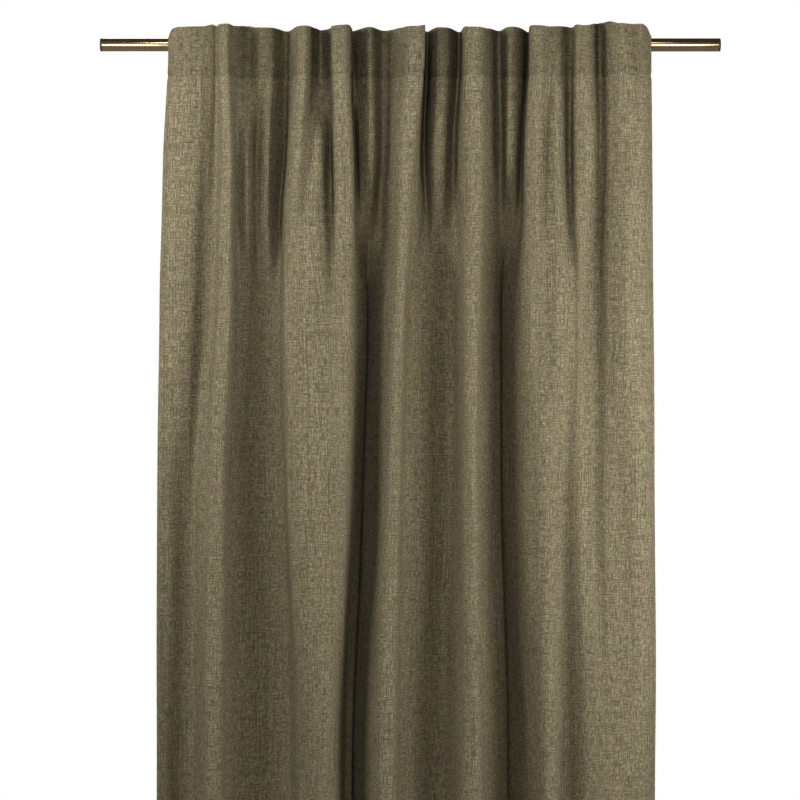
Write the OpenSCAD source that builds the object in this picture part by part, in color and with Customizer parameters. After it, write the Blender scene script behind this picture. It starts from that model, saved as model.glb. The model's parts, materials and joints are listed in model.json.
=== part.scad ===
// Curtain panel with a multi-way heading, hung on a plain round metal rod.
// Frame: the origin is on the rod's axis at mid length, X runs along the rod,
// Z is up, and the front of the curtain faces -Y. All sizes are in millimetres.

/* [Rod] */
// Outside diameter of the rod
rod_d = 20; // [16:1:20]
// Wall thickness of the rod's tube
rod_wall = 1; // [0.8:0.1:2]
// Length of the rod over both end plugs
rod_length = 960; // [900:10:1200]
// Thickness of an end plug's head, which closes the tube's end
plug_head = 3; // [2:0.5:5]
// Length of an end plug's stem inside the tube
plug_stem = 18; // [8:1:40]

/* [Curtain] */
// Height of the top edge above the rod's axis
top_z = 20; // [18:1:24]
// Finished length of the curtain from top edge to bottom edge
drop = 2400; // [2000:50:2800]
// Thickness of the face cloth
cloth_t = 1.2; // [0.8:0.1:1.5]
// Height below the rod at which the heading pleats have settled into loose folds
settle_drop = 900; // [600:50:1200]

/* [Heading] */
// Depth of the heading tape, from the top edge to its lower seam
tape_depth = 77; // [60:1:90]
// Thickness of the heading tape
tape_t = 0.8; // [0.5:0.1:1]
// Width of each hidden loop along the rod
loop_w = 18; // [12:1:20]
// Thickness of a loop's webbing
loop_t = 1.2; // [0.8:0.1:1.5]
// Slack between a loop and the rod
loop_slack = 1.2; // [1:0.1:2]

/* [Hems] */
// Depth of the bottom hem
bottom_hem = 80; // [50:5:120]
// Thickness of the turned-under layers of a hem
hem_t = 1.2; // [0.8:0.1:1.5]

/* [Stitching] */
// Width of a row of stitches
thread_w = 1; // [0.6:0.1:1.5]
// Thickness of the sewing thread
thread_t = 0.4; // [0.3:0.1:0.6]

/* [Care label] */
// Height of the blank care label
label_h = 45; // [30:5:80]
// Thickness of the care label
label_t = 0.4; // [0.3:0.1:0.6]

/* [Hidden] */
$fn = 96;

// The fold lines from left to right: the side edge, then ridge and valley in turn, and the
// other side edge. Each is [x at the heading, x low down, y at the heading, y low down] of
// the cloth's back face.
FOLDS = [
    [-371, -388, -43, -45],
    [-337, -355, -60, -57],
    [-307, -336, -15, -66],
    [-283, -305, -80, -89],
    [-224, -238, -15, -20],
    [-163, -153, -82, -83],
    [-139, -136, -15, -77],
    [-110, -110, -80, -89],
    [ -61,  -85, -15,   0],
    [   7,  -30, -80, -88],
    [  50,   47, -15,  -5],
    [  98,   95, -79, -90],
    [ 158,  143, -15,   0],
    [ 195,  201, -82, -88],
    [ 242,  237, -32, -56],
    [ 258,  258, -83, -80],
    [ 292,  292, -15, -72],
    [ 327,  330, -88, -85],
    [ 367,  373, -59, -63]
];
LAST = len(FOLDS) - 1;
// The valleys whose floors the hidden loops are sewn behind.
LOOP_LINES = [2, 4, 6, 8, 10, 12, 16];
// The side edges and ridges between which the lengths of face cloth hang.
CLOTH_ENDS = [0, 3, 5, 7, 9, 11, 13, LAST];
// Share of each half fold that stays flat at its valley and at its ridge.
flat_share = 0.1;
// Points across each half fold.
COLUMNS = 6;
// Trim at a ridge where two lengths of the face cloth meet, in half folds.
ridge_trim = 0.006;
// Gap between layers of cloth that lie on each other.
layer_gap = 0.3;
// Distance from the face cloth to the stitches that run down it.
stitch_gap = 0.6;
// Width of a side hem and the place of its stitches, in half folds.
side_hem_u = 0.26;
side_stitch_u = 0.2;
// Thickness lost by the head's rounded corner on an end plug.
plug_chamfer = 0.6;
// Radial play of a plug's stem in the tube.
plug_play = 0.1;

rod_r = rod_d / 2;
tube_length = rod_length - 2 * plug_head;
seam_z = top_z - tape_depth;
settle_z = -settle_drop;
bottom_z = top_z - drop;
hem_z = bottom_z + bottom_hem;
label_z = hem_z + 60;
loop_in = rod_r + loop_slack;
loop_out = loop_in + loop_t;
// The loops' front legs lie on the heading tape at the floors of the valleys.
loop_face = -FOLDS[LOOP_LINES[0]][2] - layer_gap - tape_t - layer_gap;

// Heights at which the cloth's fold pattern is set out.
settling = [for (k = [1 : 7]) seam_z + (settle_z - seam_z) * k / 7];
heights = concat([top_z, seam_z], settling, [hem_z, bottom_z]);

// Share of the way from the heading's pleats (0) to the settled folds (1) at a height.
function settled(z) =
    let (t = min(max((seam_z - z) / (seam_z - settle_z), 0), 1))
    t * t * (3 - 2 * t);

// Place of fold line i at height z.
function line_x(i, z) = FOLDS[i][0] + (FOLDS[i][1] - FOLDS[i][0]) * settled(z);
function line_y(i, z) = FOLDS[i][2] + (FOLDS[i][3] - FOLDS[i][2]) * settled(z);

// Smooth step from a valley to a ridge, flat for a short way at both.
function fold_step(t) =
    (1 - cos(180 * min(max((t - flat_share) / (1 - 2 * flat_share), 0), 1))) / 2;

// The smooth fold shape: u counts half folds from the left edge.
function fold_x(u, z) =
    let (i = min(floor(u), LAST - 1))
    line_x(i, z) + (line_x(i + 1, z) - line_x(i, z)) * (u - i);
function fold_y(u, z) =
    let (i = min(floor(u), LAST - 1))
    line_y(i, z) + (line_y(i + 1, z) - line_y(i, z)) * fold_step(u - i);

// Point on the cloth's back face, which is straight between its columns, so that layers
// which start or end between two columns still lie flat on each other.
function cloth_point(u, z) =
    let (
        k = min(floor(u * COLUMNS), LAST * COLUMNS - 1),
        u0 = k / COLUMNS,
        u1 = (k + 1) / COLUMNS,
        t = u * COLUMNS - k
    )
    [
        fold_x(u0, z) * (1 - t) + fold_x(u1, z) * t,
        fold_y(u0, z) * (1 - t) + fold_y(u1, z) * t,
        z
    ];

// Positions across the cloth between two places, in half folds.
function across(u0, u1) = concat(
    [u0],
    [for (k = [floor(u0 * COLUMNS) + 1 : ceil(u1 * COLUMNS) - 1]) k / COLUMNS],
    [u1]
);

// A layer of cloth that follows the folds. Its back lies `behind` the face cloth's back.
module layer(us, zs, behind, thick) {
    nu = len(us);
    nz = len(zs);
    count = nu * nz;
    front = [for (z = zs, u = us) cloth_point(u, z) + [0, behind - thick, 0]];
    back = [for (z = zs, u = us) cloth_point(u, z) + [0, behind, 0]];
    front_faces = [
        for (r = [0 : nz - 2], c = [0 : nu - 2], half = [0, 1])
        let (a = r * nu + c, b = a + nu)
        half == 0 ? [a, a + 1, b + 1] : [a, b + 1, b]
    ];
    back_faces = [for (f = front_faces) [f[0] + count, f[2] + count, f[1] + count]];
    top_faces = [
        for (c = [0 : nu - 2], half = [0, 1])
        half == 0 ? [c, c + count, c + 1 + count] : [c, c + 1 + count, c + 1]
    ];
    last = count - nu;
    bottom_faces = [
        for (c = [0 : nu - 2], half = [0, 1])
        let (a = last + c)
        half == 0 ? [a, a + 1, a + 1 + count] : [a, a + 1 + count, a + count]
    ];
    left_faces = [
        for (r = [0 : nz - 2], half = [0, 1])
        let (a = r * nu, b = a + nu)
        half == 0 ? [a, b, b + count] : [a, b + count, a + count]
    ];
    right_faces = [
        for (r = [0 : nz - 2], half = [0, 1])
        let (a = r * nu + nu - 1, b = a + nu)
        half == 0 ? [a, a + count, b + count] : [a, b + count, b]
    ];
    polyhedron(
        points = concat(front, back),
        faces = concat(
            front_faces, back_faces, top_faces, bottom_faces, left_faces, right_faces
        ),
        convexity = 8
    );
}

module rod_tube() {
    color("#5b4632")
    rotate([0, 90, 0])
    difference() {
        cylinder(r = rod_r, h = tube_length, center = true);
        cylinder(r = rod_r - rod_wall, h = tube_length + 2, center = true);
    }
}

// The plug at one end of the rod: side is -1 on the left and 1 on the right.
module end_plug(side) {
    stem_r = rod_r - rod_wall - plug_play;
    color("#453425")
    translate([side * tube_length / 2, 0, 0])
    rotate([0, side * 90, 0])
    union() {
        translate([0, 0, -plug_stem])
        cylinder(r = stem_r, h = plug_stem + 1);
        cylinder(r = rod_r, h = plug_head - plug_chamfer);
        translate([0, 0, plug_head - plug_chamfer])
        cylinder(r1 = rod_r, r2 = rod_r - plug_chamfer, h = plug_chamfer);
    }
}

// Outline of the space inside a loop, or of its outside, seen along the rod.
module loop_outline(r, face) {
    circle(r = r);
    translate([-face, -r])
    square([face, 2 * r]);
}

// Hidden loop i, counted from 1 at the left: webbing round the back of the rod, with a tail
// above and below that is sewn to the heading tape.
module loop(i) {
    tail_top = top_z - 3;
    tail_bottom = seam_z + 20;
    color("#8d8871")
    translate([FOLDS[LOOP_LINES[i - 1]][0], 0, 0])
    rotate([90, 0, 90])
    linear_extrude(height = loop_w, center = true)
    union() {
        difference() {
            loop_outline(loop_out, loop_face);
            loop_outline(loop_in, loop_face - loop_t);
        }
        translate([-loop_face, tail_bottom])
        square([loop_t, tail_top - tail_bottom]);
    }
}

// The length of face cloth that hangs from loop i, from ridge to ridge.
module face_cloth(i) {
    u0 = CLOTH_ENDS[i - 1] + (i == 1 ? 0 : ridge_trim);
    u1 = CLOTH_ENDS[i] - (i == len(LOOP_LINES) ? 0 : ridge_trim);
    color("#7c7458")
    layer(across(u0, u1), heights, 0, cloth_t);
}

module heading_tape() {
    color("#968f76")
    layer(across(0, LAST), [top_z - 1, seam_z], layer_gap + tape_t, tape_t);
}

// The turned-under side edges, from the heading tape down to the bottom hem.
module side_hem(u0, u1) {
    zs = concat([seam_z - 1], settling, [hem_z + 1]);
    color("#6f6850")
    layer(across(u0, u1), zs, layer_gap + hem_t, hem_t);
}

module bottom_hem() {
    color("#6f6850")
    layer(across(0, LAST), [hem_z, bottom_z], layer_gap + hem_t, hem_t);
}

// A row of stitches across the curtain's face, with its middle at height z.
module cross_stitching(z) {
    color("#5f5943")
    layer(
        across(0, LAST), [z + thread_w / 2, z - thread_w / 2],
        -cloth_t - layer_gap, thread_t
    );
}

// A row of stitches down the curtain's face from the seam to the hem.
module side_stitching(u) {
    half_u = thread_w / 2 / (FOLDS[1][0] - FOLDS[0][0]);
    zs = concat([seam_z - 2], settling, [hem_z + 2]);
    color("#5f5943")
    layer([u - half_u, u + half_u], zs, -cloth_t - stitch_gap, thread_t);
}

module care_label() {
    color("#e9e6dc")
    layer(
        across(0.1, 0.9), [label_z + label_h, label_z],
        3 * layer_gap + hem_t + label_t, label_t
    );
}

rod_tube();
end_plug(-1);  // end_plug_left
end_plug(1);  // end_plug_right
loop(1);  // loop_01
loop(2);  // loop_02
loop(3);  // loop_03
loop(4);  // loop_04
loop(5);  // loop_05
loop(6);  // loop_06
loop(7);  // loop_07
face_cloth(1);  // face_cloth_01
face_cloth(2);  // face_cloth_02
face_cloth(3);  // face_cloth_03
face_cloth(4);  // face_cloth_04
face_cloth(5);  // face_cloth_05
face_cloth(6);  // face_cloth_06
face_cloth(7);  // face_cloth_07
heading_tape();
side_hem(0, side_hem_u);  // side_hem_left
side_hem(LAST - side_hem_u, LAST);  // side_hem_right
bottom_hem();
cross_stitching(top_z - 4);  // top_stitching
cross_stitching(seam_z + 2);  // tape_stitching
side_stitching(side_stitch_u);  // side_stitching_left
side_stitching(LAST - side_stitch_u);  // side_stitching_right
cross_stitching(hem_z - 2);  // bottom_stitching
care_label();
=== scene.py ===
import json
import math
import bpy
import numpy as np
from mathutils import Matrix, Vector

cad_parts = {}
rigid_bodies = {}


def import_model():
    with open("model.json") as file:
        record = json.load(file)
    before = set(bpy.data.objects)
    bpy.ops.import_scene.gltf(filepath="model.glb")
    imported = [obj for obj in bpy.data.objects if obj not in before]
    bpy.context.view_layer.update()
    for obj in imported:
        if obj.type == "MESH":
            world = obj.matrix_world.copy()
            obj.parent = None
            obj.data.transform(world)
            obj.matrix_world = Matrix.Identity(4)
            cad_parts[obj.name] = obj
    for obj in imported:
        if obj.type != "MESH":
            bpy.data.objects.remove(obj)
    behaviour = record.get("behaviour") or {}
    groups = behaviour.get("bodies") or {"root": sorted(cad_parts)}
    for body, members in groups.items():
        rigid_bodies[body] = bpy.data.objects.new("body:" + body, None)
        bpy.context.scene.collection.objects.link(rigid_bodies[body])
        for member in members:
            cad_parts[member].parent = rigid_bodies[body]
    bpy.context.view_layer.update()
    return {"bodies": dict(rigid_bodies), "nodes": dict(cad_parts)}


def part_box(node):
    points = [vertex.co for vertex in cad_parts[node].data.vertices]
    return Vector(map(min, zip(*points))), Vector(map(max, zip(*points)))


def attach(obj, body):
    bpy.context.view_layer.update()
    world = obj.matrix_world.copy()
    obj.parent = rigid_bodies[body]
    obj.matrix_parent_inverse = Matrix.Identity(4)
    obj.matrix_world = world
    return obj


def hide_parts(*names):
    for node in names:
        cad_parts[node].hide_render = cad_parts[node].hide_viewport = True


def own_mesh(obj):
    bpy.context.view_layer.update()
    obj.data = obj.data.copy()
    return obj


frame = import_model()

# ---------------------------------------------------------------- the curtain's dimensions, metres
MM = 0.001
CLOTH_LOW, CLOTH_HIGH = (np.array(c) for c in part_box("face_cloth_01"))
TOP_Z = CLOTH_HIGH[2]
BOTTOM_Z = CLOTH_LOW[2]
SEAM_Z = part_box("heading_tape")[0][2]
HEM_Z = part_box("bottom_hem")[1][2]
ROD_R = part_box("rod_tube")[1][2]
LOOP_BODIES = sorted(b for b in frame["bodies"] if b.startswith("loop_"))
LOOP_X = [float(np.mean([c[0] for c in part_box(b)])) for b in LOOP_BODIES]
LOOP_LOW, LOOP_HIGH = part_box("loop_01")
LOOP_WIDTH = LOOP_HIGH[0] - LOOP_LOW[0]
LOOP_TAIL_Z = LOOP_LOW[2]
LOOP_THICK = 1.2 * MM
LOOP_PLAY = 1.2 * MM
LOOP_DROP = -1.0 * MM  # the loops hang on the rod, so they are lower than its axis by most of the play
LOOP_WRAP = math.radians(112)  # how far round the rod a loop lies on it, each way from the back
TAPE_BEHIND = 1.0 * MM
TAPE_SHORT = 2 * MM  # the tape stops this far from the cloth's side edges
TAPE_LOWERED = 1.5 * MM  # and this far below its top edge
HEM_BEHIND = 1.2 * MM
SIDE_HEM = 11 * MM
HEM_STITCH = 9 * MM
STITCH_LENGTH = 3.0 * MM
STITCH_PITCH = 4.0 * MM
STITCH_R = 0.32 * MM
ROW_MARGIN = 4 * MM  # the rows of stitches stop this far from an edge, the seam or the hem
SEAM_STITCH_Z = SEAM_Z + 2 * MM
TOP_STITCH_Z = TOP_Z - 4 * MM
HEM_STITCH_Z = HEM_Z - 2 * MM

# Fold lines of the hanging cloth, from the left edge to the right edge. Each row holds one line's
# place, (x, y) in millimetres, at the six heights below: x along the rod, y towards the back.
FOLD_HEIGHTS = (-10, -170, -260, -400, -700, -1120)
FOLD_LINES = (
    ((-371, -46), (-378, -48), (-380, -49), (-384, -50), (-385, -70), (-386, -68)),  # left side edge
    ((-358, -60), (-365, -62), (-366, -64), (-366, -66), (-366, -65), (-370, -57)),
    ((-321, -63), (-324, -66), (-331, -67), (-336, -68), (-343, -51), (-350, -42)),
    ((-304, -61), (-309, -60), (-312, -56), (-314, -53), (-331, -48), (-335, -40)),
    ((-296, -58), (-296, -54), (-299, -54), (-302, -54), (-315, -74), (-321, -66)),  # first loop's valley
    ((-290, -84), (-284, -84), (-287, -85), (-290, -87), (-302, -94), (-308, -92)),
    ((-278, -91), (-272, -94), (-273, -94), (-275, -93), (-285, -92), (-291, -90)),  # first ridge
    ((-267, -60), (-265, -54), (-265, -56), (-264, -50), (-276, -50), (-279, -52)),
    ((-248, -28), (-249, -62), (-249, -66), (-246, -38), (-262, -30), (-262, -26)),
    ((-229, -48), (-235, -32), (-235, -40), (-231, -33), (-238, -18), (-229, -12)),  # second loop's valley
    ((-212, -46), (-218, -54), (-219, -52), (-216, -33), (-213, -18), (-205, -8)),
    ((-192, -12), (-195, -8), (-201, -18), (-202, -38), (-196, -32), (-186, -18)),
    ((-169, -86), (-185, -58), (-189, -68), (-189, -81), (-185, -74), (-169, -56)),
    ((-158, -91), (-169, -89), (-175, -90), (-176, -91), (-167, -90), (-151, -84)),  # second ridge
    ((-146, -44), (-154, -72), (-160, -84), (-152, -95), (-140, -92), (-137, -92)),
    ((-138, -24), (-137, -76), (-142, -92), (-131, -89), (-122, -90), (-128, -92)),  # third loop's valley
    ((-123, -56), (-123, -40), (-121, -62), (-122, -83), (-113, -92), (-122, -88)),
    ((-117, -88), (-111, -86), (-110, -88), (-110, -87), (-107, -92), (-115, -76)),
    ((-98, -91), (-92, -90), (-90, -90), (-93, -89), (-98, -88), (-108, -50)),  # third ridge
    ((-90, -38), (-85, -16), (-82, -38), (-80, -46), (-88, -44), (-101, -14)),
    ((-89, -10), (-76, -47), (-76, -40), (-67, -6), (-75, -4), (-90, 0)),  # fourth loop's valley
    ((-62, -58), (-59, -66), (-62, -40), (-69, 12), (-77, 18), (-92, 20)),
    ((-41, -18), (-42, -26), (-47, -22), (-47, -30), (-54, -26), (-73, -24)),
    ((-14, -56), (-25, -56), (-25, -60), (-31, -58), (-40, -66), (-59, -66)),
    ((-2, -91), (-11, -89), (-14, -90), (-22, -87), (-31, -88), (-46, -88)),  # middle ridge
    ((19, -92), (4, -89), (-2, -88), (-11, -91), (-19, -88), (-28, -88)),
    ((21, -54), (12, -64), (8, -66), (-2, -54), (-8, -52), (-14, -48)),
    ((26, -10), (21, -16), (24, -28), (15, -40), (16, -36), (6, -32)),
    ((42, -58), (36, -64), (33, -44), (39, -27), (40, -20), (27, -14)),  # fifth loop's valley
    ((57, -56), (51, -62), (48, -46), (64, -20), (61, -16), (52, -8)),
    ((75, -14), (66, -26), (67, -32), (77, -58), (76, -52), (70, -46)),
    ((86, -90), (87, -90), (87, -89), (86, -87), (84, -84), (84, -84)),  # straight ridge
    ((105, -91), (105, -92), (104, -92), (101, -91), (96, -90), (102, -90)),
    ((118, -58), (118, -62), (117, -57), (113, -51), (108, -56), (115, -62)),
    ((137, -16), (140, -22), (138, -24), (131, -18), (129, -14), (138, -14)),
    ((150, -58), (149, -68), (147, -30), (139, -2), (141, 0), (151, 2)),  # sixth loop's valley
    ((166, -52), (161, -62), (159, -34), (138, 14), (140, 16), (151, 18)),
    ((182, -12), (171, -32), (169, -30), (158, -30), (160, -26), (172, -16)),
    ((184, -88), (178, -84), (178, -84), (178, -83), (177, -70), (189, -50)),
    ((199, -92), (193, -92), (193, -92), (196, -89), (198, -90), (204, -90)),  # right of the dark valley
    ((211, -76), (206, -80), (204, -84), (205, -91), (211, -92), (216, -90)),
    ((226, -70), (221, -96), (223, -97), (226, -97), (222, -88), (226, -76)),  # double ridge
    ((246, -52), (243, -58), (244, -70), (248, -89), (238, -78), (238, -56)),  # crease
    ((252, -89), (251, -86), (252, -90), (255, -91), (249, -86), (251, -62)),
    ((263, -86), (261, -92), (261, -92), (261, -89), (257, -90), (265, -80)),
    ((272, -84), (273, -92), (272, -88), (268, -79), (271, -84), (278, -86)),
    ((290, -48), (289, -62), (289, -58), (288, -62), (282, -76), (290, -88)),  # seventh loop's valley
    ((304, -89), (304, -84), (303, -82), (301, -79), (296, -84), (305, -90)),
    ((318, -97), (327, -98), (327, -98), (327, -97), (320, -88), (332, -90)),  # right flap
    ((336, -87), (341, -98), (341, -96), (341, -93), (338, -94), (345, -88)),
    ((349, -95), (352, -94), (352, -91), (352, -89), (355, -90), (356, -84)),
    ((367, -64), (368, -68), (369, -68), (370, -68), (372, -70), (374, -56)),  # right side edge
)

# The top edge's rise in millimetres at places along the rod: the corners droop, and the cloth
# stands a little higher where it is bunched.
TOP_EDGE = (
    (-371, -16), (-368, -8), (-364, -3), (-356, -1), (-314, 0), (-303, 3), (-292, 0),
    (-270, 0), (-256, 4), (-247, 5), (-236, 1), (-226, 0), (-200, 0), (-171, -3),
    (-155, -3), (-144, 0), (-118, -3), (-101, -2), (-90, 0), (-15, -1), (-4, -4),
    (13, -4), (24, -1), (45, -1), (75, -2), (90, -5), (110, -5), (124, -1),
    (160, 0), (180, -2), (200, -3), (212, -2), (240, 0), (262, -2), (272, -1),
    (280, 3), (291, 7), (303, 4), (313, 0), (334, 0), (352, -1), (360, -5), (367, -16),
)

# ---------------------------------------------------------------- the cloth's surface


def monotone_slopes(knots, values):
    """Slopes for a cubic through values at knots that never overshoots them."""
    step = np.diff(knots)[:, None, None]
    rise = np.diff(values, axis=0) / step
    slopes = np.zeros_like(values)
    before, after = rise[:-1], rise[1:]
    same = before * after > 0
    both = np.where(same, before + after, 1)
    slopes[1:-1] = np.where(same, 2 * before * after / both, 0)
    return slopes


def cubic(t, start, leaving, end, arriving):
    """The cubic from start to end, for t from 0 to 1, with these slopes at its ends."""
    return ((2 * t**3 - 3 * t**2 + 1) * start + (t**3 - 2 * t**2 + t) * leaving
            + (3 * t**2 - 2 * t**3) * end + (t**3 - t**2) * arriving)


def lines_at(z):
    """The fold lines' places at each height in z, as an array (heights, lines, 2)."""
    knots = np.array(FOLD_HEIGHTS[::-1]) * MM
    values = np.array(FOLD_LINES, float).transpose(1, 0, 2)[::-1] * MM
    slopes = monotone_slopes(knots, values)
    z = np.clip(z, knots[0], knots[-1])
    k = np.clip(np.searchsorted(knots, z) - 1, 0, len(knots) - 2)
    width = (knots[k + 1] - knots[k])[:, None, None]
    t = (z - knots[k])[:, None, None] / width
    return cubic(t, values[k], width * slopes[k], values[k + 1], width * slopes[k + 1])


def smooth_across(points, counts):
    """A smooth curve through each row's points, with counts[i] steps between points i and i + 1."""
    gaps = np.linalg.norm(np.diff(points, axis=1), axis=2, keepdims=True) ** 0.5
    chords = np.diff(points, axis=1) / gaps
    tangents = np.empty_like(points)
    tangents[:, 1:-1] = (chords[:, :-1] * gaps[:, 1:] + chords[:, 1:] * gaps[:, :-1]) / (
        gaps[:, :-1] + gaps[:, 1:])
    tangents[:, 0], tangents[:, -1] = chords[:, 0], chords[:, -1]
    out = []
    for i, count in enumerate(counts):
        t = (np.arange(count) / count)[None, :, None]
        a, b = points[:, i:i + 1], points[:, i + 1:i + 2]
        gap = gaps[:, i:i + 1]
        out.append(cubic(t, a, tangents[:, i:i + 1] * gap, b, tangents[:, i + 1:i + 2] * gap))
    out.append(points[:, -1:])
    return np.concatenate(out, axis=1)


COLUMN_STEP = 4.0 * MM
# Rows down to each height, and the step between them.
ROW_STEPS = (
    (SEAM_Z, 4 * MM),
    (SEAM_Z - 0.012, 3 * MM),
    (-0.5, 8 * MM),
    (-1.3, 12 * MM),
    (BOTTOM_Z, 18 * MM),
)


def row_heights():
    """Heights of the cloth's rows, closest together at the seam."""
    rows, z = [TOP_Z], TOP_Z
    for low, step in ROW_STEPS:
        count = max(1, round((z - low) / step))
        rows += list(np.linspace(z, low, count + 1)[1:])
        z = low
    return np.array(rows)


def waves(flat, z, lengths, heights, phase):
    """A sum of slanting sine waves over the cloth, between about -1 and 1."""
    total = 0
    for k, (across, down) in enumerate(zip(lengths, heights)):
        total = total + np.sin(math.tau * (flat / across + z / down) + phase + 2.4 * k)
    return total / len(lengths)


PUCKER_SIZE = 0.5 * MM
PUCKER_WAVES = ((0.0131, 0.0173, 0.0239), (0.9, -0.7, 1.3))
PUCKER_PATCHES = ((0.083, 0.141), (0.3, -0.5))
PUCKER_DROP = 0.35  # metres below the seam at which the puckers have gone
DENT_SIZE = 1.1 * MM
DENT_WAVES = ((0.061, 0.097, 0.143), (0.41, -0.57, 0.83))
SEAM_GROOVE = 1.5 * MM
SEAM_GROOVE_HALF = 3.5 * MM
HEM_GROOVE = 0.5 * MM
HEM_GROOVE_HALF = 1.5 * MM


def small_relief(flat, z):
    """How far the cloth stands back from its smooth folds: puckers, soft dents and the seam's groove."""
    settled = np.clip((SEAM_Z - z) / PUCKER_DROP, 0, 1)
    puckers = waves(flat, z, *PUCKER_WAVES, 0.4)
    pucker_size = PUCKER_SIZE * (1 - settled) ** 2 * (0.6 + 0.4 * waves(flat, z, *PUCKER_PATCHES, 1.0))
    dents = waves(flat, z, *DENT_WAVES, 2.0)
    dent_size = DENT_SIZE * (0.25 + 0.75 * settled)
    groove = SEAM_GROOVE * np.exp(-((z - SEAM_STITCH_Z) / SEAM_GROOVE_HALF) ** 2)
    edge = np.minimum(flat, flat.max() - flat)
    hem_groove = HEM_GROOVE * np.exp(-((edge - HEM_STITCH) / HEM_GROOVE_HALF) ** 2)
    return puckers * pucker_size + dents * dent_size + groove + hem_groove


def cloth_grid():
    """Points of the cloth (rows, columns, 3) and the flat distance of each column from the left edge."""
    z = row_heights()
    lines = lines_at(z)
    lengths = np.linalg.norm(np.diff(lines, axis=1), axis=2).max(axis=0)
    counts = np.maximum(2, np.round(lengths / COLUMN_STEP)).astype(int)
    xy = smooth_across(lines, counts)
    points = np.dstack([xy, np.repeat(z[:, None], xy.shape[1], axis=1)])
    arcs = np.linalg.norm(np.diff(points[:, :, :2], axis=1), axis=2)
    flat = np.concatenate([[0], np.cumsum(arcs.mean(axis=0))])
    points += grid_normals(points) * small_relief(flat[None, :], z[:, None])[..., None]
    heading = np.clip((z - SEAM_Z) / (TOP_Z - SEAM_Z), 0, 1)[:, None]
    edge_x, edge_rise = np.array(TOP_EDGE).T * MM
    points[..., 2] += np.interp(points[0, :, 0], edge_x, edge_rise)[None, :] * heading ** 1.5
    return points, flat


def grid_normals(points):
    """Unit normals of a grid of points, towards the back of the cloth."""
    along = np.gradient(points, axis=1)
    down = np.gradient(points, axis=0)
    n = np.cross(along, -down)
    n /= np.linalg.norm(n, axis=2, keepdims=True)
    return -n if n[..., 1].mean() < 0 else n


GRID, FLAT = cloth_grid()
NORMALS = grid_normals(GRID)
FLAT_WIDTH = float(FLAT[-1])
ROWS_Z = row_heights()


def on_cloth(flat, z):
    """Points and normals on the cloth at flat distances from the left edge and at heights."""
    flat, z = np.broadcast_arrays(np.asarray(flat, float), np.asarray(z, float))
    c = np.interp(flat, FLAT, np.arange(len(FLAT)))
    r = np.interp(-z, -ROWS_Z, np.arange(len(ROWS_Z)))
    c0 = np.minimum(c.astype(int), len(FLAT) - 2)
    r0 = np.minimum(r.astype(int), len(ROWS_Z) - 2)
    s, t = (c - c0)[..., None], (r - r0)[..., None]

    def mix(a):
        return ((a[r0, c0] * (1 - s) + a[r0, c0 + 1] * s) * (1 - t)
                + (a[r0 + 1, c0] * (1 - s) + a[r0 + 1, c0 + 1] * s) * t)

    normals = mix(NORMALS)
    return mix(GRID), normals / np.linalg.norm(normals, axis=-1, keepdims=True)


# ---------------------------------------------------------------- mesh helpers


def new_object(name, verts, faces, uv=None):
    """A smooth-shaded mesh object, with a UV in metres for each vertex if they are given."""
    mesh = bpy.data.meshes.new(name)
    mesh.from_pydata([tuple(map(float, v)) for v in verts], [], [tuple(map(int, f)) for f in faces])
    if uv is not None:
        layer = mesh.uv_layers.new(name="flat")
        index = np.empty(len(mesh.loops), int)
        mesh.loops.foreach_get("vertex_index", index)
        layer.data.foreach_set("uv", np.asarray(uv, float)[index].ravel())
    mesh.polygons.foreach_set("use_smooth", [True] * len(mesh.polygons))
    mesh.update()
    obj = bpy.data.objects.new(name, mesh)
    bpy.context.scene.collection.objects.link(obj)
    return obj


def grid_faces(rows, columns):
    """The four-cornered faces of a grid of points."""
    r, c = np.meshgrid(np.arange(rows - 1), np.arange(columns - 1), indexing="ij")
    a = (r * columns + c).ravel()
    return np.stack([a, a + columns, a + columns + 1, a + 1], axis=1)


def sheet_object(name, points, flat, z_flat):
    """A grid of points as one sheet, with its flat places as UVs."""
    rows, columns = points.shape[:2]
    uv = np.dstack(np.meshgrid(flat, z_flat)).reshape(-1, 2)
    return new_object(name, points.reshape(-1, 3), grid_faces(rows, columns), uv)


FOLD_STEPS = 5  # steps round the turn of a hem


def turned_edge(start, inward, depth, behind):
    """A turned-under edge: (place, outward, behind) of each line from the fold to the inner edge.

    start is the edge's place and inward is 1 or -1, the way to the middle of the cloth."""
    lines = []
    for k in range(FOLD_STEPS + 1):
        angle = math.pi * k / FOLD_STEPS
        lines.append((start, behind / 2 * math.sin(angle), behind / 2 * (1 - math.cos(angle))))
    count = max(2, round(depth / COLUMN_STEP))
    lines += [(start + inward * depth * k / count, 0, behind) for k in range(1, count + 1)]
    return lines


def side_layer(name, start, inward, depth, z_high, z_low, behind):
    """A turned-under side hem, from the edge inwards."""
    lines = np.array(turned_edge(start, inward, depth, behind))
    zs = rows_between(z_high, z_low)
    points, normals = on_cloth(lines[None, :, 0], zs[:, None])
    ahead = on_cloth(np.clip(lines[None, :, 0] + inward * MM, 0, FLAT_WIDTH), zs[:, None])[0]
    outward = points - ahead
    outward /= np.linalg.norm(outward, axis=2, keepdims=True) + 1e-12
    points = points + outward * lines[None, :, 1:2] + normals * lines[None, :, 2:3]
    return sheet_object(name, points, lines[:, 0] - lines[:, 1] * inward, zs)


def bottom_layer(name, z_low, depth, behind):
    """A turned-up bottom hem, from the bottom edge upwards."""
    lines = np.array(turned_edge(z_low, 1, depth, behind))
    points, normals = on_cloth(FLAT[None, :], lines[:, :1])
    points = points + normals * lines[:, None, 2:3]
    points[..., 2] -= lines[:, 1:2]
    return sheet_object(name, points, FLAT, lines[:, 0] - lines[:, 1])


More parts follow.
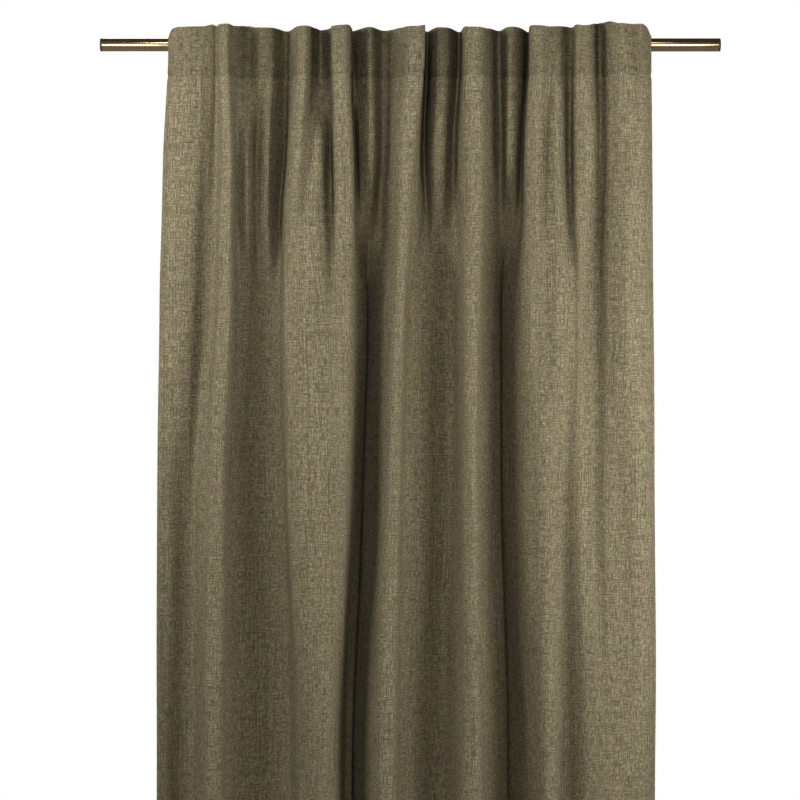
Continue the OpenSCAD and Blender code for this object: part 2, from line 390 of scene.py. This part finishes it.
def rows_between(z_high, z_low):
    """The cloth's own rows between two heights, and the two heights."""
    inner = ROWS_Z[(ROWS_Z < z_high - MM) & (ROWS_Z > z_low + MM)]
    return np.concatenate([[z_high], inner, [z_low]])


def flat_layer(name, flat_from, flat_to, z_high, z_low, behind):
    """A second layer of cloth that follows the first at a distance behind it."""
    cols = np.concatenate([[flat_from], FLAT[(FLAT > flat_from) & (FLAT < flat_to)], [flat_to]])
    zs = rows_between(z_high, z_low)
    points, normals = on_cloth(cols[None, :], zs[:, None])
    return sheet_object(name, points + normals * behind, cols, zs)


def webbing_path(tape_y):
    """The line of a hidden loop round the rod, as (y, z), from its lower tail to its upper tail."""
    round_r = ROD_R + LOOP_PLAY + LOOP_THICK / 2
    arc = [(round_r * math.cos(a), round_r * math.sin(a) + LOOP_DROP)
           for a in np.linspace(-LOOP_WRAP, LOOP_WRAP, 28)]
    bend_low, bend_high = arc[0][1] - 5 * MM, min(arc[-1][1] + 3 * MM, TOP_Z - 5 * MM)
    lower = [(tape_y, z) for z in np.linspace(LOOP_TAIL_Z, bend_low, 8)]
    upper = [(tape_y, z) for z in np.linspace(bend_high, TOP_Z - 3 * MM, 4)]
    return np.array(lower + arc + upper)


def rounded_path(path, step):
    """The same line with its corners eased, at even steps, and each point's distance along it."""
    for _ in range(3):
        middle = (path[:-1] + path[1:]) / 2
        path = np.concatenate([path[:1], (middle[:-1] + middle[1:]) / 2, path[-1:]])
    along = np.concatenate([[0], np.cumsum(np.linalg.norm(np.diff(path, axis=0), axis=1))])
    places = np.linspace(0, along[-1], max(2, round(along[-1] / step)) + 1)
    return np.stack([np.interp(places, along, path[:, k]) for k in (0, 1)], axis=1), places


def webbing_loop(name, x, tape_y):
    """A strip of webbing with rounded edges, bent round the rod and sewn to the tape."""
    path, along = rounded_path(webbing_path(tape_y), 1.2 * MM)
    tangent = np.gradient(path, axis=0)
    tangent /= np.linalg.norm(tangent, axis=1, keepdims=True)
    normal = np.stack([-tangent[:, 1], tangent[:, 0]], axis=1)
    half, thick = LOOP_WIDTH / 2, LOOP_THICK / 2
    side = [(-half + thick - thick * math.cos(a), thick * math.sin(a))
            for a in np.linspace(-math.pi / 2, math.pi / 2, 5)]
    middle = [(w, thick) for w in np.linspace(-half + thick, half - thick, 9)[1:-1]]
    section = side + middle + [(-w, t) for w, t in side[::-1]] + [(-w, -t) for w, t in middle]
    verts, uvs = [], []
    for (y, z), (ny, nz), v in zip(path, normal, along):
        for w, t in section:
            verts.append((x + w, y + ny * t, z + nz * t))
            uvs.append((w, v))
    n, count = len(section), len(path)
    faces = [(r * n + k, r * n + (k + 1) % n, (r + 1) * n + (k + 1) % n, (r + 1) * n + k)
             for r in range(count - 1) for k in range(n)]
    faces += [tuple(range(n))[::-1], tuple(range((count - 1) * n, count * n))]
    return new_object(name, verts, faces, uvs)


# A stitch's outline: places along it, as shares of its length, and its thickness there.
STITCH_RINGS = ((-0.5, 0.0), (-0.47, 0.55), (-0.3, 1.0), (0.0, 1.1), (0.3, 1.0), (0.47, 0.55), (0.5, 0.0))
STITCH_SIDES = 6
STITCH_TIP = 0.15  # the least thickness of a stitch, at its ends


def stitch_row(name, flats, zs):
    """A row of separate stitches on the cloth's face, through places in order along the row."""
    centres, normals = on_cloth(flats, zs)
    ahead = np.gradient(centres, axis=0)
    ahead /= np.linalg.norm(ahead, axis=1, keepdims=True)
    across = np.cross(normals, ahead)
    sides = STITCH_SIDES
    verts, faces, uvs = [], [], []
    for c, n, a, o in zip(centres, normals, ahead, across):
        base = len(verts)
        for place, size in STITCH_RINGS:
            lift = STITCH_R * (0.2 + 0.5 * (1 - abs(2 * place)))
            middle = c + a * place * STITCH_LENGTH - n * lift
            for k in range(sides):
                angle = math.tau * k / sides
                offset = (o * math.cos(angle) + n * math.sin(angle)) * STITCH_R * max(size, STITCH_TIP)
                verts.append(middle + offset)
                uvs.append((angle * STITCH_R, place * STITCH_LENGTH))
        for r in range(len(STITCH_RINGS) - 1):
            for k in range(sides):
                p, q = base + r * sides, base + (r + 1) * sides
                faces.append((p + k, p + (k + 1) % sides, q + (k + 1) % sides, q + k))
        faces.append(tuple(base + k for k in range(sides))[::-1])
        faces.append(tuple(base + (len(STITCH_RINGS) - 1) * sides + k for k in range(sides)))
    return new_object(name, verts, faces, uvs)


def tape_back_at(x):
    """The y of a loop's tail that lies behind the tape at a place along the rod."""
    near = np.abs(GRID[0, :, 0] - x) < LOOP_WIDTH / 2
    heading = ROWS_Z > LOOP_TAIL_Z
    return float(GRID[heading][:, near, 1].max()) + TAPE_BEHIND + LOOP_THICK / 2 + 0.4 * MM


LABEL_WIDTH = 28 * MM
LABEL_DROP = 45 * MM
LABEL_CURL = 6 * MM
LABEL_AWAY = 3.5 * MM  # how far its top is behind the cloth
LABEL_LAYER = 1.2 * MM  # between its two layers


def care_label(flat, z_high):
    """A blank satin label, folded over at its lower end, that hangs behind the cloth."""
    columns, rows = 13, 25
    flats = np.linspace(flat, flat + LABEL_WIDTH, columns)[None, :]
    down = np.linspace(0, 2, rows)[:, None]
    z = z_high - LABEL_DROP * np.where(down <= 1, down, 2 - down)
    points, normals = on_cloth(flats, z)
    away = LABEL_AWAY + LABEL_CURL * (0.5 - 0.5 * np.cos(math.pi * np.minimum(down, 2 - down)))
    layer = np.clip((down - 1) * 12 + 0.5, 0, 1) * LABEL_LAYER
    points = points + normals * (away + layer)[..., None]
    return sheet_object("blank_label", points, flats[0], (z_high - LABEL_DROP * down)[:, 0])


# ---------------------------------------------------------------- materials


def node_tree(name):
    """A new material and its empty node tree."""
    material = bpy.data.materials.new(name)
    material.use_nodes = True
    tree = material.node_tree
    tree.nodes.clear()
    return material, tree


def add(tree, kind, **settings):
    """A new node with these properties."""
    node = tree.nodes.new(kind)
    for key, value in settings.items():
        setattr(node, key, value)
    return node


def feed(tree, socket, value):
    """Sets an input to a number or a colour, or links another node's output to it."""
    if isinstance(value, (int, float)):
        socket.default_value = value
    elif isinstance(value, tuple):
        socket.default_value = (*value, 1)
    else:
        tree.links.new(value, socket)


def math_node(tree, operation, a, b=None):
    """One step of arithmetic."""
    node = add(tree, "ShaderNodeMath", operation=operation)
    feed(tree, node.inputs[0], a)
    if b is not None:
        feed(tree, node.inputs[1], b)
    return node.outputs[0]


def weighted_sum(tree, *parts):
    """The sum of each (value, weight) pair's product."""
    total = None
    for value, weight in parts:
        part = math_node(tree, "MULTIPLY", value, weight)
        total = part if total is None else math_node(tree, "ADD", total, part)
    return total


def stretched_noise(tree, coords, scale, detail=2.0, roughness=0.6):
    """Noise on coordinates stretched by scale = (x, y, z)."""
    mapping = add(tree, "ShaderNodeMapping")
    mapping.inputs["Scale"].default_value = scale
    tree.links.new(coords, mapping.inputs["Vector"])
    noise = add(tree, "ShaderNodeTexNoise")
    noise.inputs["Scale"].default_value = 1.0
    noise.inputs["Detail"].default_value = detail
    noise.inputs["Roughness"].default_value = roughness
    tree.links.new(mapping.outputs[0], noise.inputs["Vector"])
    return noise.outputs["Fac"]


def ramp(tree, value, stops):
    """A colour for each value, by stops of (value, colour)."""
    node = add(tree, "ShaderNodeValToRGB")
    elements = node.color_ramp.elements
    while len(elements) < len(stops):
        elements.new(0.5)
    for element, (position, color) in zip(elements, stops):
        element.position = position
        element.color = (*color, 1)
    tree.links.new(value, node.inputs[0])
    return node.outputs[0]


def lines_where(tree, value, low, high):
    """1 where a value is above high, 0 where it is below low, and smooth between."""
    node = add(tree, "ShaderNodeMapRange", interpolation_type="SMOOTHSTEP")
    node.inputs["From Min"].default_value = low
    node.inputs["From Max"].default_value = high
    tree.links.new(value, node.inputs["Value"])
    return node.outputs[0]


def mix_colors(tree, share, first, second, blend="MIX"):
    """Two colours mixed or multiplied."""
    node = add(tree, "ShaderNodeMix", data_type="RGBA", blend_type=blend)
    for k, value in ((0, share), (6, first), (7, second)):
        feed(tree, node.inputs[k], value)
    return node.outputs[2]


def surface(tree, color, height, bump_strength, bump_distance, **inputs):
    """A Principled shader with a colour, a bump from height, and its other inputs by their names."""
    bump = add(tree, "ShaderNodeBump")
    bump.inputs["Strength"].default_value = bump_strength
    bump.inputs["Distance"].default_value = bump_distance
    tree.links.new(height, bump.inputs["Height"])
    shader = add(tree, "ShaderNodeBsdfPrincipled")
    tree.links.new(color, shader.inputs["Base Color"])
    tree.links.new(bump.outputs[0], shader.inputs["Normal"])
    for name, value in inputs.items():
        feed(tree, shader.inputs[name.replace("_", " ")], value)
    return shader.outputs[0]


def put_out(tree, shader, kind="ShaderNodeOutputMaterial"):
    """Links a shader to the tree's output."""
    tree.links.new(shader, add(tree, kind).inputs[0])


THREAD = 1.1 * MM  # the weave's repeat, both ways
# Tints that the cloth's colour is multiplied by.
OLIVE = (0.965, 1.0, 0.93)
TAUPE = (1.035, 0.995, 1.03)
# Painted shade: a grey that darkens the heading's colour, in place of the light kept out by the tape.
HEADING_PAINTED_SHADE = (0.87, 0.87, 0.86)


def woven_cloth(name, dark, mid, light, translucency, painted_shade_above=None):
    """Slub linen: threads both ways, thick and thin places along them, and a little light through it;
    above a given height, painted shade darkens the heading.
    """
    material, tree = node_tree(name)
    uv = add(tree, "ShaderNodeUVMap", uv_map="flat").outputs[0]
    split = add(tree, "ShaderNodeSeparateXYZ")
    tree.links.new(uv, split.inputs[0])
    u, v = split.outputs[0], split.outputs[1]
    # Thick and thin places: streaks along the warp (down) and the weft (across).
    warp = stretched_noise(tree, uv, (800, 150, 1), detail=1.0)
    weft = stretched_noise(tree, uv, (160, 800, 1), detail=1.0)
    warp_long = stretched_noise(tree, uv, (430, 8, 1), detail=1.0)
    weft_long = stretched_noise(tree, uv, (16, 520, 1), detail=1.0)
    grain = stretched_noise(tree, uv, (1100, 1100, 1), detail=1.0)
    streaks = weighted_sum(tree, (warp, 0.37), (weft, 0.33), (warp_long, 0.14), (weft_long, 0.08),
                           (grain, 0.08))
    # The threads themselves, over and under by turns.
    wobble = math_node(tree, "MULTIPLY", math_node(tree, "SUBTRACT", warp_long, 0.5), 2.5)
    phase_u = math_node(tree, "ADD", math_node(tree, "MULTIPLY", u, math.tau / THREAD), wobble)
    phase_v = math_node(tree, "ADD", math_node(tree, "MULTIPLY", v, math.tau / THREAD), wobble)
    over, under = math_node(tree, "SINE", phase_u), math_node(tree, "SINE", phase_v)
    threads = math_node(tree, "MULTIPLY", over, under)
    height = math_node(tree, "ADD", math_node(tree, "MULTIPLY", threads, 0.06), streaks)
    color = ramp(tree, height, ((0.34, dark), (0.5, mid), (0.66, light)))
    # Dark slubs, long ones down the cloth and shorter ones across it, and short gaps between threads.
    slub_down = lines_where(tree, stretched_noise(tree, uv, (390, 7, 3.1), detail=1.0), 0.62, 0.72)
    slub_across = lines_where(tree, stretched_noise(tree, uv, (21, 410, 7.3), detail=1.0), 0.64, 0.74)
    gaps_across = lines_where(tree, stretched_noise(tree, uv, (60, 800, 5.7), detail=0.6), 0.54, 0.64)
    gaps_down = lines_where(tree, stretched_noise(tree, uv, (800, 52, 2.3), detail=0.6), 0.53, 0.63)
    gaps = math_node(tree, "MULTIPLY", math_node(tree, "MAXIMUM", gaps_across, gaps_down), 0.65)
    slubs = math_node(tree, "MULTIPLY", math_node(tree, "MAXIMUM", slub_down, slub_across), 0.7)
    slubs = math_node(tree, "MAXIMUM", slubs, gaps)
    color = mix_colors(tree, slubs, color, dark)
    # The yarn's colour wanders between olive and taupe.
    hue = lines_where(tree, stretched_noise(tree, uv, (90, 20, 1), detail=3.0), 0.3, 0.7)
    color = mix_colors(tree, 1.0, color, mix_colors(tree, hue, OLIVE, TAUPE), blend="MULTIPLY")
    if painted_shade_above is not None:
        # Painted shade: the heading above the seam is darkened in its colour, standing in for the light
        # that the tape behind it keeps from coming through.
        painted_shade_mask = lines_where(tree, v, painted_shade_above - 2 * MM, painted_shade_above + 2 * MM)
        color = mix_colors(tree, painted_shade_mask, color, mix_colors(tree, 1.0, color, HEADING_PAINTED_SHADE, blend="MULTIPLY"))
    relief = math_node(tree, "SUBTRACT", height, math_node(tree, "MULTIPLY", slubs, 0.2))
    shader = surface(tree, color, relief, 0.35, 0.5 * MM, Roughness=0.85, Specular_IOR_Level=0.2,
                     Sheen_Weight=0.02, Sheen_Roughness=0.5)
    through = add(tree, "ShaderNodeBsdfTranslucent")
    tree.links.new(color, through.inputs["Color"])
    # Thin places let more light through than thick ones.
    share = math_node(tree, "MULTIPLY", math_node(tree, "SUBTRACT", 1.5, streaks), translucency)
    mix = add(tree, "ShaderNodeMixShader")
    for socket, value in zip(mix.inputs, (share, shader, through.outputs[0])):
        feed(tree, socket, value)
    put_out(tree, mix.outputs[0])
    return material


def ribbed_tape(name, dark, light, rib):
    """Close woven tape or webbing with ribs a short way apart."""
    material, tree = node_tree(name)
    coords = add(tree, "ShaderNodeUVMap", uv_map="flat").outputs[0]
    split = add(tree, "ShaderNodeSeparateXYZ")
    tree.links.new(coords, split.inputs[0])
    ribs = math_node(tree, "SINE", math_node(tree, "MULTIPLY", split.outputs[0], math.tau / rib))
    cross = math_node(tree, "SINE", math_node(tree, "MULTIPLY", split.outputs[1], math.tau / (0.7 * rib)))
    noise = stretched_noise(tree, coords, (500, 500, 500), detail=3.0)
    height = math_node(tree, "ADD", weighted_sum(tree, (ribs, 0.2), (cross, 0.1)), noise)
    color = ramp(tree, height, ((0.25, dark), (0.75, light)))
    put_out(tree, surface(tree, color, height, 0.6, 0.3 * MM, Roughness=0.75, Sheen_Weight=0.1))
    return material


def bronze_rod(name):
    """Polished bronze-brown lacquer over drawn metal: faint lines along it and light handling wear."""
    material, tree = node_tree(name)
    coords = add(tree, "ShaderNodeTexCoord").outputs["Object"]
    drawn = stretched_noise(tree, coords, (6, 900, 900), detail=3.0)
    patches = stretched_noise(tree, coords, (25, 40, 40), detail=4.0)
    mixed = weighted_sum(tree, (drawn, 0.55), (patches, 0.45))
    color = ramp(tree, mixed, ((0.3, (0.27, 0.19, 0.105)), (0.7, (0.34, 0.25, 0.15))))
    roughness = add(tree, "ShaderNodeMapRange")
    roughness.inputs["To Min"].default_value = 0.06
    roughness.inputs["To Max"].default_value = 0.11
    tree.links.new(patches, roughness.inputs["Value"])
    put_out(tree, surface(tree, color, drawn, 0.08, 0.1 * MM, Metallic=0.85, Coat_Weight=1.0,
                          Coat_Roughness=0.05, Roughness=roughness.outputs[0]))
    return material


def speckled(name, dark, light, scale, roughness):
    """A plain moulded or spun surface with fine uneven colour."""
    material, tree = node_tree(name)
    coords = add(tree, "ShaderNodeTexCoord").outputs["Object"]
    noise = stretched_noise(tree, coords, (scale, scale, scale), detail=4.0)
    color = ramp(tree, noise, ((0.3, dark), (0.7, light)))
    put_out(tree, surface(tree, color, noise, 0.25, 0.1 * MM, Roughness=roughness))
    return material


# The linen's dark, middle and light colours.
LINEN = ((0.115, 0.098, 0.060), (0.275, 0.240, 0.158), (0.48, 0.428, 0.315))
# The face's heading above the seam gets painted shade in its colour.
FABRIC = woven_cloth("linen_face", *LINEN, translucency=0.015, painted_shade_above=SEAM_Z)
HEM_FABRIC = woven_cloth("linen_hem", *LINEN, translucency=0.01)
TAPE = ribbed_tape("heading_tape_weave", (0.20, 0.18, 0.13), (0.40, 0.37, 0.29), 1.6 * MM)
WEBBING = ribbed_tape("loop_webbing_weave", (0.17, 0.155, 0.11), (0.34, 0.31, 0.24), 1.2 * MM)
THREAD_FINISH = speckled("sewing_thread", (0.13, 0.115, 0.075), (0.27, 0.24, 0.17), 3000, 0.6)
LABEL_FINISH = ribbed_tape("label_satin", (0.66, 0.64, 0.58), (0.84, 0.82, 0.77), 0.5 * MM)
ROD_FINISH = bronze_rod("bronze_lacquer")
PLUG_FINISH = speckled("plug_moulding", (0.035, 0.024, 0.014), (0.075, 0.052, 0.032), 700, 0.42)


def finish_with(obj, material):
    """Gives an object one material."""
    obj.data.materials.clear()
    obj.data.materials.append(material)


def gathers(obj, body):
    """The piece rides on a body, with a mesh of its own."""
    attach(obj, body)
    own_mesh(obj)


def places(start, end):
    """Even places along a row of stitches."""
    return np.linspace(start, end, max(2, round(abs(end - start) / STITCH_PITCH)) + 1)


def piece(obj, material, slot, *replaced):
    """Gives a piece of the cloth its finish and its motion, and hides the CAD nodes it stands for; slot is
    not used.
    """
    finish_with(obj, material)
    gathers(obj, LOOP_BODIES[0])
    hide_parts(*replaced)
    return obj


CLOTH_NODES = sorted(n for n in frame["nodes"] if n.startswith("face_cloth_"))
RIGHT_STITCH = FLAT_WIDTH - HEM_STITCH

face = piece(sheet_object("face_cloth", GRID, FLAT, ROWS_Z), FABRIC, "face_cloth", *CLOTH_NODES)
tape_band = flat_layer("heading_tape_band", TAPE_SHORT, FLAT_WIDTH - TAPE_SHORT,
                       TOP_Z - TAPE_LOWERED, SEAM_Z, TAPE_BEHIND)
tape = piece(tape_band, TAPE, "heading_tape", "heading_tape")
hem_left = piece(side_layer("left_side_hem", 0, 1, SIDE_HEM, SEAM_Z, HEM_Z, HEM_BEHIND),
                 HEM_FABRIC, "hem_cloth", "side_hem_left")
hem_right = piece(side_layer("right_side_hem", FLAT_WIDTH, -1, SIDE_HEM, SEAM_Z, HEM_Z, HEM_BEHIND),
                  HEM_FABRIC, "hem_cloth", "side_hem_right")
hem_bottom = piece(bottom_layer("turned_bottom_hem", BOTTOM_Z, HEM_Z - BOTTOM_Z, HEM_BEHIND),
                   HEM_FABRIC, "hem_cloth", "bottom_hem")

ALONG_ROWS = places(ROW_MARGIN, FLAT_WIDTH - ROW_MARGIN)
DOWN_ROWS = places(SEAM_Z - ROW_MARGIN, HEM_Z + ROW_MARGIN)
for name, flats, zs, node in (
    ("top_stitch_row", ALONG_ROWS, TOP_STITCH_Z, "top_stitching"),
    ("tape_stitch_row", ALONG_ROWS, SEAM_STITCH_Z, "tape_stitching"),
    ("bottom_stitch_row", ALONG_ROWS, HEM_STITCH_Z, "bottom_stitching"),
    ("left_stitch_row", HEM_STITCH, DOWN_ROWS, "side_stitching_left"),
    ("right_stitch_row", RIGHT_STITCH, DOWN_ROWS, "side_stitching_right"),
):
    piece(stitch_row(name, flats, zs), THREAD_FINISH, "thread", node)

label_low, label_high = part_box("care_label")
label_flat = float(np.interp(label_low[0], GRID[-1, :, 0], FLAT))
piece(care_label(label_flat, label_high[2]), LABEL_FINISH, "label_cloth", "care_label")

for body, x in zip(LOOP_BODIES, LOOP_X):
    loop = webbing_loop("webbing_" + body, x, tape_back_at(x))
    finish_with(loop, WEBBING)
    # The webbing is soft; it rides on its own loop's body.
    gathers(loop, body)
    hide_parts(body)

finish_with(bpy.data.objects["rod_tube"], ROD_FINISH)
for node in ("end_plug_left", "end_plug_right"):
    finish_with(bpy.data.objects[node], PLUG_FINISH)

# ---------------------------------------------------------------- stage, light and camera


ROOM_LIGHT = 0.06
BACKDROP_LIGHT = 1.0


def area_light(name, place, aim, size, power):
    """A white soft box that the camera doesn't see."""
    data = bpy.data.lights.new(name, "AREA")
    data.shape = "RECTANGLE"
    data.size, data.size_y = size
    data.energy = power
    obj = bpy.data.objects.new(name, data)
    obj.location = place
    obj.rotation_euler = (Vector(aim) - Vector(place)).to_track_quat("-Z", "Y").to_euler()
    obj.visible_camera = False
    bpy.context.scene.collection.objects.link(obj)


def white_world():
    """A white backdrop for the camera, and a dimmer white room for everything it lights."""
    world = bpy.data.worlds.new("studio")
    bpy.context.scene.world = world
    world.use_nodes = True
    tree = world.node_tree
    tree.nodes.clear()
    mix = add(tree, "ShaderNodeMixShader")
    tree.links.new(add(tree, "ShaderNodeLightPath").outputs["Is Camera Ray"], mix.inputs[0])
    for socket, strength in zip(mix.inputs[1:], (ROOM_LIGHT, BACKDROP_LIGHT)):
        light = add(tree, "ShaderNodeBackground")
        light.inputs["Color"].default_value = (1, 1, 1, 1)
        light.inputs["Strength"].default_value = strength
        tree.links.new(light.outputs[0], socket)
    put_out(tree, mix.outputs[0], "ShaderNodeOutputWorld")


white_world()
VIEW_Z = -0.55
# Soft boxes round the curtain: name, place, aim, size, power in watts.
SOFT_BOXES = (
    ("top_left", (-0.4, -1.9, 1.3), (0, 0, -0.3), (0.4, 0.8), 13),
    ("top_middle", (0, -1.9, 1.3), (0, 0, -0.3), (0.4, 0.8), 5.5),
    ("top_right", (0.4, -1.9, 1.3), (0, 0, -0.3), (0.4, 0.8), 7),
    ("strip_left", (-0.83, -3.7, -0.6), (-0.43, 0, 0), (0.2, 2.4), 10),
    ("strip_right", (0.82, -3.7, -0.6), (0.43, 0, 0), (0.2, 2.4), 10),
    ("box_front_left", (-2.6, -2.4, 0.1), (0, 0, -0.4), (1.0, 1.2), 17),
    ("high_front_left", (-2.4, -2.2, 0.6), (0, 0, -0.3), (0.8, 1.0), 8),
    ("high_left", (-2.8, -0.9, 0.6), (0, 0, -0.3), (0.8, 1.0), 15),
    ("box_near_left", (-0.85, -0.65, -0.1), (-0.33, 0, -0.2), (0.5, 0.8), 4.7),
    ("box_near_right", (0.85, -0.6, -0.55), (0.35, 0, -0.55), (0.5, 1.1), 7.4),
    ("box_right", (3.0, -0.8, -0.6), (0, 0, VIEW_Z), (1.0, 1.4), 18),
    ("box_behind", (-0.9, 2.6, 0.3), (0, 0, -0.8), (2.4, 2.4), 55),
)
for name, place, aim, size, power in SOFT_BOXES:
    area_light(name, place, aim, size, power)

FLOOR_Z = BOTTOM_Z - 0.03
FLOOR_HALF = 7
corners = [(x * FLOOR_HALF, y * FLOOR_HALF, FLOOR_Z) for x, y in ((-1, -1), (1, -1), (1, 1), (-1, 1))]
floor = new_object("floor", corners, [(0, 1, 2, 3)])
finish_with(floor, speckled("pale_floor", (0.78, 0.77, 0.75), (0.84, 0.83, 0.81), 12, 0.8))

camera_data = bpy.data.cameras.new("camera")
camera_data.sensor_width = 36
camera_data.lens = 116.2
camera = bpy.data.objects.new("camera", camera_data)
camera.location = (-0.016, -4.0, VIEW_Z)
camera.rotation_euler = (math.radians(90), 0, 0)
bpy.context.scene.collection.objects.link(camera)
bpy.context.scene.camera = camera
bpy.context.scene.view_settings.view_transform = "Standard"
bpy.context.scene.view_settings.gamma = 0.8
